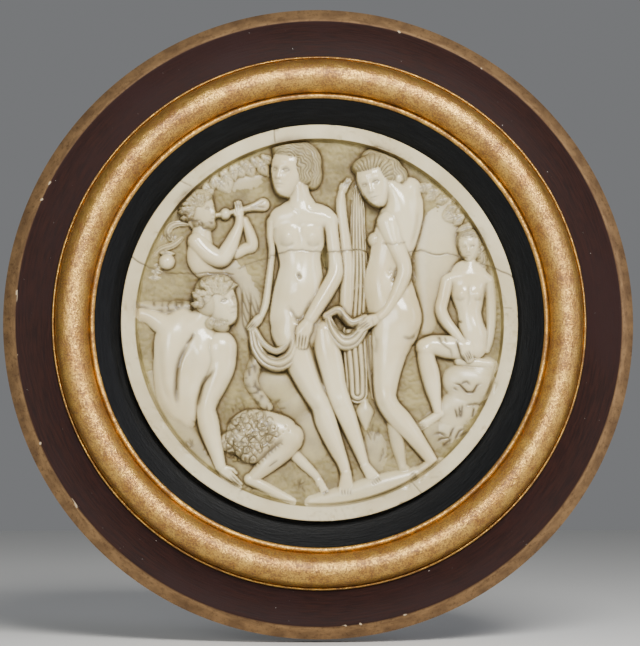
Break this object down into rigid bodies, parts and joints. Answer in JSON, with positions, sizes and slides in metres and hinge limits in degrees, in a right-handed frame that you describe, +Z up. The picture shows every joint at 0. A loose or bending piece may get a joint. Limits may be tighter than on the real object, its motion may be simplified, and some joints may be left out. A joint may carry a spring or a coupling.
{
  "type": "framed alabaster relief tondo",
  "caption": "Round alabaster relief of nymphs and satyrs in a turned, gilt and ebonised wooden frame, made to hang flat on a wall.",
  "frame": {"origin": "centre of the flat back, where the frame meets the wall", "axes": "+X to the viewer's right, +Z up, +Y into the wall; the relief looks along -Y"},
  "size_m": [0.3806, 0.0354, 0.3806],
  "materials": {
    "brown_frieze": "painted red-brown, satin, with a worn gilt outer edge",
    "gilding": "worn water gilding over red-brown bole",
    "ebonised_wood": "ebonised, satin",
    "alabaster": "polished on the forms, matt and stained in the hollows"
  },
  "bodies": {
    "root": {"outer_frame": "brown_frieze", "gilt_moulding": "gilding", "black_slip": "ebonised_wood", "alabaster_relief": "alabaster"}
  },
  "joints": []
}
